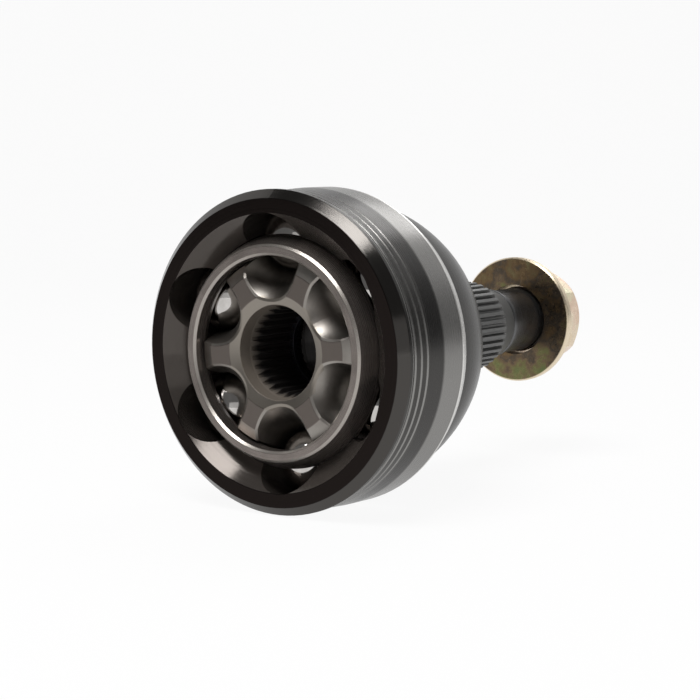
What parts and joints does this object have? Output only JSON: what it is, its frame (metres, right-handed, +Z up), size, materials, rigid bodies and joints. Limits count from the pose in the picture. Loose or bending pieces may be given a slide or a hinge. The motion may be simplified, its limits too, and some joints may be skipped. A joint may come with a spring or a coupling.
{
  "type": "constant-velocity joint",
  "caption": "Outboard constant-velocity driveshaft joint: grooved bell with splined stub, cage with balls, splined inner race, and a loose washer and hex nut on the stub.",
  "frame": {"origin": "joint centre, on the axis of the half-shaft spline, where both shaft axes cross", "axes": "+X along the stub from the open mouth to the nut, +Z up; the inner race tilts about a line five degrees off Y"},
  "size_m": [0.1495, 0.09, 0.09],
  "materials": {
    "phosphated_steel": "black phosphate with oiled turned marks, semi-gloss",
    "ground_steel": "satin hardened steel, ground edges",
    "ball_steel": "polished bearing steel",
    "spring_steel": "dark blued spring steel",
    "yellow_zinc": "yellow passivated zinc plate, iridescent"
  },
  "bodies": {
    "outer_race": {"outer_race": "phosphated_steel"},
    "inner_race": {"inner_race": "ground_steel", "snap_ring": "spring_steel"},
    "ball_cage": {"ball_cage": "ground_steel"},
    "ball_1": {"ball_1": "ball_steel"},
    "ball_2": {"ball_2": "ball_steel"},
    "ball_3": {"ball_3": "ball_steel"},
    "ball_4": {"ball_4": "ball_steel"},
    "ball_5": {"ball_5": "ball_steel"},
    "ball_6": {"ball_6": "ball_steel"},
    "hub_washer": {"hub_washer": "yellow_zinc"},
    "hub_nut": {"hub_nut": "yellow_zinc"}
  },
  "joints": [
    {"name": "race_tilt", "type": "hinge", "parent": "outer_race", "child": "inner_race", "pos_m": [0, 0, 0], "axis": [0, 0.9962, -0.0872], "range_deg": [-45, 45]},
    {"name": "cage_tilt", "type": "hinge", "parent": "outer_race", "child": "ball_cage", "pos_m": [0, 0, 0], "axis": [0, 0.9962, -0.0872], "range_deg": [-23, 23]},
    {"name": "ball_1_roll", "type": "hinge", "parent": "outer_race", "child": "ball_1", "pos_m": [-0.0028, 0, 0], "axis": [0, 0.4226, -0.9063], "range_deg": [-12.2, 12.2]},
    {"name": "ball_2_roll", "type": "hinge", "parent": "outer_race", "child": "ball_2", "pos_m": [-0.0028, 0, 0], "axis": [0, 0.9962, -0.0872], "range_deg": [-23, 23]},
    {"name": "ball_3_roll", "type": "hinge", "parent": "outer_race", "child": "ball_3", "pos_m": [-0.0028, 0, 0], "axis": [0, 0.5736, 0.8192], "range_deg": [-12.2, 12.2]},
    {"name": "ball_4_roll", "type": "hinge", "parent": "outer_race", "child": "ball_4", "pos_m": [-0.0028, 0, 0], "axis": [0, -0.4226, 0.9063], "range_deg": [-12.2, 12.2]},
    {"name": "ball_5_roll", "type": "hinge", "parent": "outer_race", "child": "ball_5", "pos_m": [-0.0028, 0, 0], "axis": [0, -0.9962, 0.0872], "range_deg": [-23, 23]},
    {"name": "ball_6_roll", "type": "hinge", "parent": "outer_race", "child": "ball_6", "pos_m": [-0.0028, 0, 0], "axis": [0, -0.5736, -0.8192], "range_deg": [-12.2, 12.2]},
    {"name": "washer_slide", "type": "slide", "parent": "outer_race", "child": "hub_washer", "axis": [1, 0, 0], "range_m": [0, 0.023]},
    {"name": "nut_spin", "type": "hinge", "parent": "hub_washer", "child": "hub_nut", "pos_m": [0.11346, 0, 0], "axis": [1, 0, 0], "range_deg": [0, 5400]}
  ],
  "couplings": [
    {"joint": "cage_tilt", "follows": "race_tilt", "ratio": 0.5},
    {"joint": "ball_1_roll", "follows": "race_tilt", "ratio": 0.26002},
    {"joint": "ball_2_roll", "follows": "race_tilt", "ratio": 0.5},
    {"joint": "ball_3_roll", "follows": "race_tilt", "ratio": 0.26002},
    {"joint": "ball_4_roll", "follows": "race_tilt", "ratio": -0.26002},
    {"joint": "ball_5_roll", "follows": "race_tilt", "ratio": -0.5},
    {"joint": "ball_6_roll", "follows": "race_tilt", "ratio": -0.26002},
    {"joint": "washer_slide", "follows": "nut_spin", "m_per_rad": 0.00023873}
  ]
}
